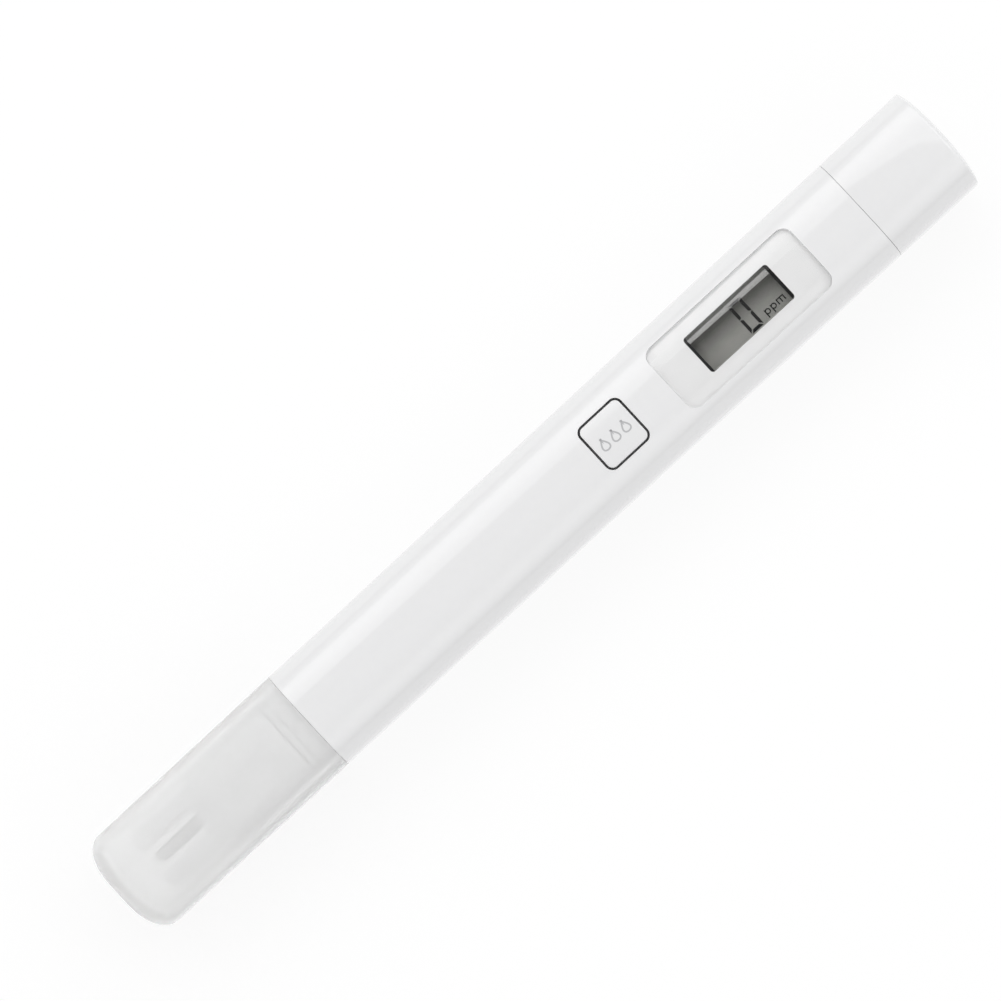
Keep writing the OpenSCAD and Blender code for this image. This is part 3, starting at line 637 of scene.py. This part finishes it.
def makeProbeHolder():
    p = probe
    low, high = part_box("probe_holder")
    seamX = (mouthX + shellStartX) / 2
    neckX = p["slotX"] + p["shoulder"]

    def neck(x, inset=0.0):
        return ring(x, inset, halfW=p["neckW"], halfD=p["neckD"])

    quarter = quarterTurn(8)
    rings = [point(high.x)]
    rings += [ring(x, halfW=cavityW - p["plugPlay"], halfD=cavityD - p["plugPlay"]) for x in (high.x, seamX)]
    rings += [neck(seamX), neck(ringX + p["grooveHalf"]), neck(ringX + p["grooveHalf"], p["grooveDeep"])]
    rings += [neck(ringX - p["grooveHalf"], p["grooveDeep"]), neck(ringX - p["grooveHalf"])]
    rings += [neck(neckX - p["guardInset"] * (1 - math.cos(a)), p["guardInset"] * math.sin(a)) for a in quarter]
    rings += [neck(low.x + p["guardRound"] * (1 - math.sin(a)), p["guardInset"] + p["guardRound"] * (1 - math.cos(a)))
              for a in quarter] + [point(low.x)]
    bm = bmesh.new()
    loft(bm, rings, 160)
    blank = meshOf(bm, "blank")
    slot = bmesh.new()
    bmesh.ops.create_cube(slot, size=1)
    bmesh.ops.scale(slot, vec=(p["slotX"] - low.x + 2 * mm, p["slotWidth"], 20 * mm), verts=slot.verts)
    bmesh.ops.translate(slot, vec=((p["slotX"] + low.x - 2 * mm) / 2, 0, axisZ), verts=slot.verts)
    upright = [e for e in slot.edges if abs(e.verts[0].co.z - e.verts[1].co.z) > 1 * mm and e.verts[0].co.x > low.x]
    bmesh.ops.bevel(slot, geom=upright, offset=0.7 * mm, segments=6, profile=0.5, affect="EDGES", material=-1)
    return smooth(cut(blank, [(meshOf(slot, "cutter"), "DIFFERENCE")]))


def makePin(node):
    low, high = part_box(node)
    r = probe["pinRadius"]
    quarter = quarterTurn(8)
    profile = [(low.x + r * (1 - math.cos(a)), r * math.sin(a)) for a in quarter]
    profile += [(high.x - 0.1 * mm, r), (high.x, r - 0.1 * mm), (high.x, 0)]
    bm = bmesh.new()
    turned(bm, profile, 48, (low.z + high.z) / 2)
    return meshOf(bm, node)


def outlinePath(x, halfW, halfD, steps=128):
    points = []
    for k in range(steps):
        turn = 2 * math.pi * (k + 0.5) / steps
        c, s = math.cos(turn), math.sin(turn)
        y = halfW * math.copysign(abs(c) ** (2 / section), c)
        z = halfD * math.copysign(abs(s) ** (2 / section), s)
        points.append((x, y, axisZ + max(z, backFlat - halfD)))
    return points


def makeORing():
    inset = probe["ringWire"] / 2 - 0.10 * mm
    bm = bmesh.new()
    swept(bm, outlinePath(ringX, probe["neckW"] - inset, probe["neckD"] - inset), probe["ringWire"] / 2, 16, True)
    return meshOf(bm, "tipORing", 60)


piece("probeHolder", makeProbeHolder(), "pen", "probe_plastic", probePlastic, "probe_holder")
piece("probePinFront", makePin("probe_pin_front"), "pen", "titanium", titanium, "probe_pin_front")
piece("probePinRear", makePin("probe_pin_rear"), "pen", "titanium", titanium, "probe_pin_rear")
piece("tipORing", makeORing(), "pen", "seal_rubber", paleSilicone, "tip_o_ring")

print("battery end")
battery = dict(boreRadius=5.95 * mm, edge=0.25 * mm, cellRadius=5.8 * mm, slotHalf=0.85 * mm, wire=0.175 * mm)


def circleRing(x, radius):
    return ring(x, power=2.0, halfW=radius, halfD=radius)


def makeHousing():
    low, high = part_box("battery_housing")
    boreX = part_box("spring_tab")[1].x - 0.3 * mm
    edge, bore, seamX = battery["edge"], battery["boreRadius"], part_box("end_seal")[0].x
    rings = [point(low.x)]
    rings += [ring(x, halfW=cavityW - 0.1 * mm, halfD=cavityD - 0.1 * mm) for x in (low.x, seamX)]
    rings += [ring(seamX, halfW=endNeckW, halfD=endNeckD)]
    rings += [ring(high.x - a, i, halfW=endNeckW, halfD=endNeckD) for a, i in reversed(roundedEdge(edge))]
    rings += [circleRing(high.x, bore + edge), circleRing(high.x - edge, bore)]
    rings += [circleRing(boreX, bore), circleRing(boreX, 0.0)]
    bm = bmesh.new()
    loft(bm, rings, 160)
    slot = bmesh.new()
    bmesh.ops.create_cube(slot, size=1)
    bmesh.ops.scale(slot, vec=(high.x - low.x + 2 * mm, 2 * battery["slotHalf"], 0.6 * mm), verts=slot.verts)
    bmesh.ops.translate(slot, vec=((high.x + low.x) / 2, 0, 6.4 * mm), verts=slot.verts)
    bmesh.ops.rotate(slot, cent=(0, 0, 0), matrix=Matrix.Rotation(math.radians(45), 3, "X"), verts=slot.verts)
    bmesh.ops.translate(slot, vec=(0, 0, axisZ), verts=slot.verts)
    return smooth(cut(meshOf(bm, "blank"), [(meshOf(slot, "cutter"), "DIFFERENCE")]))


def makeSeal():
    low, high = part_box("end_seal")
    edge, grow = 0.2 * mm, 0.7 * mm
    rim = roundedEdge(edge, 4)
    rings = [ring(low.x + a, i - grow, halfW=endNeckW, halfD=endNeckD) for a, i in rim]
    rings += [ring(high.x - a, i - grow, halfW=endNeckW, halfD=endNeckD) for a, i in reversed(rim)]
    rings += [ring(x, -0.02 * mm, halfW=endNeckW, halfD=endNeckD) for x in (high.x, low.x)]
    bm = bmesh.new()
    loft(bm, rings + [rings[0]], 128)
    return meshOf(bm, "endSeal")


def makeCell(node):
    # button cell: the cap that faces the spring, its gasket's groove, the crimped lip and the can with a stepped end
    low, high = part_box(node)
    x, r = low.x, battery["cellRadius"]
    capR = r - 0.8 * mm
    profile = [
        (x, 0), (x, capR - 0.35 * mm), (x + 0.04 * mm, capR - 0.12 * mm), (x + 0.16 * mm, capR),
        (x + 0.50 * mm, capR), (x + 0.50 * mm, capR + 0.12 * mm), (x + 0.42 * mm, capR + 0.2 * mm),
        (x + 0.36 * mm, capR + 0.42 * mm), (x + 0.46 * mm, r - 0.12 * mm), (x + 0.66 * mm, r),
        (high.x - 0.3 * mm, r), (high.x - 0.09 * mm, r - 0.09 * mm), (high.x, r - 0.3 * mm),
        (high.x, 3.2 * mm), (high.x - 0.06 * mm, 3.1 * mm), (high.x - 0.06 * mm, 0),
    ]
    bm = bmesh.new()
    turned(bm, profile, 96)
    return meshOf(bm, node, 35)


def makeSpring():
    low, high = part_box("battery_spring")
    wire = battery["wire"]
    x0, x1, big, small, turns = low.x + wire, high.x - wire, 4.2 * mm, 1.8 * mm, 2.5
    count, path = 160, []
    for k in range(count + 1):
        share = k / count
        reach, turn = big + (small - big) * share, 2 * math.pi * turns * share
        path.append((x0 + (x1 - x0) * share, reach * math.cos(turn), axisZ + reach * math.sin(turn)))
    bm = bmesh.new()
    swept(bm, path, wire, 12)
    return meshOf(bm, "batterySpring", 60)


def makeEndContact():
    low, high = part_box("end_contact")
    faceX, dome = high.x - 0.28 * mm, 1.6 * mm
    wide = dict(halfW=capBoreW - 0.1 * mm, halfD=capBoreD - 0.1 * mm)
    quarter = quarterTurn(8)
    rings = [point(high.x), ring(high.x, **wide), ring(faceX, **wide), circleRing(faceX, dome + 0.5 * mm)]
    rings += [circleRing(faceX - (faceX - low.x) * math.sin(a), dome * math.cos(a)) for a in quarter]
    bm = bmesh.new()
    loft(bm, rings, 128)
    return meshOf(bm, "endContact")


piece("batteryHousing", makeHousing(), "pen", "chassis_plastic", innerPlastic, "battery_housing")
piece("endSeal", makeSeal(), "pen", "seal_rubber", paleSilicone, "end_seal")
piece("batteryCellInner", makeCell("battery_cell_inner"), "pen", "cell_steel", cellSteel, "battery_cell_inner")
piece("batteryCellOuter", makeCell("battery_cell_outer"), "pen", "cell_steel", cellSteel, "battery_cell_outer")
piece("batterySpring", makeSpring(), "pen", "spring_steel", springSteel, "battery_spring")
piece("endContact", makeEndContact(), "end_cap", "spring_steel", springSteel, "end_contact")

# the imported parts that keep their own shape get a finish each
print("finishes on the packed parts")
nodeFinish = dict(
    button_pad=silicone, lcd_frame=blackPlastic, lcd_polarizer=polarizerFilm, lcd_segments=displayDark,
    lcd_front_glass=displayGlass, lcd_rear_glass=displayGlass, lcd_reflector=reflectorFilm,
    zebra_strip_left=zebraRubber, zebra_strip_right=zebraRubber, circuit_board=boardLaminate,
    controller_chip=chipBlack, chip_resistors=chipBlack, chip_capacitors=capacitorTan, switch_body=blackPlastic,
    switch_plunger=blackPlastic, chassis=innerPlastic, board_screws=screwSteel, probe_lead_front=redSleeve,
    probe_lead_rear=blackSleeve, thermistor=sensorResin, thermistor_leads=tinnedWire, battery_strip=contactGold,
    spring_tab=springSteel,
)
for node, finish in nodeFinish.items():
    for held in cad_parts[node].material_slots:
        held.material = finish

print("floor, light and camera")
stageSet = dict(
    floorSize=6.0, floorGlow=0.84, floorTone=0.15, skySlope=-0.12,
    sky=((0.0, 0.1), (0.35, 0.9), (0.7, 1.22), (0.85, 0.8), (0.955, 0.0)),
    panelHeight=1.9, panelEdge=(0.026, 0.453), panelWide=4.0, panelDeep=3.2, panelPower=1.1,
)
view = dict(turn=42.8, tilt=3.4, far=1.39, lens=372.0, aim=(-1.64 * mm, 3.74 * mm))


def makeFloor():
    bm = bmesh.new()
    bmesh.ops.create_grid(bm, x_segments=8, y_segments=8, size=stageSet["floorSize"] / 2)
    bmesh.ops.translate(bm, vec=(0, 0, -0.01 * mm), verts=bm.verts)
    floor = linked("floor", meshOf(bm, "floor"))
    made = surface("floorPaint", (stageSet["floorTone"],) * 3, 0.8, vary=0.002, grain=8, bump=0.0)
    shader = made.node_tree.nodes["Principled BSDF"]
    shader.inputs["Emission Color"].default_value = (1, 1, 1, 1)
    shader.inputs["Emission Strength"].default_value = stageSet["floorGlow"]
    shader.inputs["Specular IOR Level"].default_value = 0.0
    floor.data.materials.append(made)


def lamp(name, corner, along, up, wide, deep, strength):
    # an area lamp given by the middle of its near edge, the edge's direction and the way that it stretches away
    data = bpy.data.lights.new(name, "AREA")
    data.shape, data.size, data.size_y = "RECTANGLE", wide, deep
    data.energy = strength * math.pi * wide * deep
    along, up = Vector(along).normalized(), Vector(up).normalized()
    back = along.cross(up).normalized()
    place = Matrix((along, up, back)).transposed().to_4x4()
    place.translation = Vector(corner) + up * deep / 2
    obj = bpy.data.objects.new(name, data)
    obj.matrix_world = place
    obj.visible_camera = False
    bpy.context.scene.collection.objects.link(obj)


def makeLight():
    world = bpy.data.worlds.new("studio")
    bpy.context.scene.world = world
    world.use_nodes = True
    nodes, links = world.node_tree.nodes, world.node_tree.links
    aim, split, tones, lean, glow = (
        nodes.new("ShaderNode" + kind) for kind in ("TexCoord", "SeparateXYZ", "ValToRGB", "Math", "Math")
    )
    steps = tones.color_ramp.elements
    steps.remove(steps[1])
    brightest = max(level for height, level in stageSet["sky"])
    for height, level in stageSet["sky"]:  # dark overhead
        step = steps.new(height) if height else steps[0]
        step.color = (*[level / brightest] * 3, 1)
    lean.operation, glow.operation = "MULTIPLY_ADD", "MULTIPLY"
    lean.inputs[1].default_value, lean.inputs[2].default_value = stageSet["skySlope"] * brightest, brightest
    links.new(aim.outputs["Generated"], split.inputs["Vector"])
    links.new(split.outputs["Z"], tones.inputs["Fac"])
    links.new(split.outputs["Y"], lean.inputs[0])
    links.new(tones.outputs["Color"], glow.inputs[0])
    links.new(lean.outputs[0], glow.inputs[1])
    links.new(glow.outputs[0], nodes["Background"].inputs["Strength"])
    nodes["Background"].inputs["Color"].default_value = (1, 1, 1, 1)
    turn = math.radians(view["turn"])
    along = Vector((math.cos(turn), -math.sin(turn), 0))
    up = Vector((math.sin(turn), math.cos(turn), 0))
    corner = Vector((*stageSet["panelEdge"], stageSet["panelHeight"]))
    lamp("softPanel", corner, along, up, stageSet["panelWide"], stageSet["panelDeep"], stageSet["panelPower"])


def makeCamera():
    turn, tilt = math.radians(view["turn"]), math.radians(view["tilt"])
    away = Vector((0, -math.sin(tilt), math.cos(tilt)))
    right = Vector((math.cos(turn), -math.sin(turn), 0))
    right = (right - away * right.dot(away)).normalized()
    up = away.cross(right)
    data = bpy.data.cameras.new("camera")
    data.lens, data.sensor_width = view["lens"], 36
    data.clip_start, data.clip_end = 0.01, 20
    camera = bpy.data.objects.new("camera", data)
    place = Matrix((right, up, away)).transposed().to_4x4()
    place.translation = Vector((*view["aim"], cadBox[1][2])) + away * view["far"]
    camera.matrix_world = place
    bpy.context.scene.collection.objects.link(camera)
    bpy.context.scene.camera = camera
    bpy.context.scene.view_settings.view_transform = "Standard"


makeFloor()
makeLight()
makeCamera()
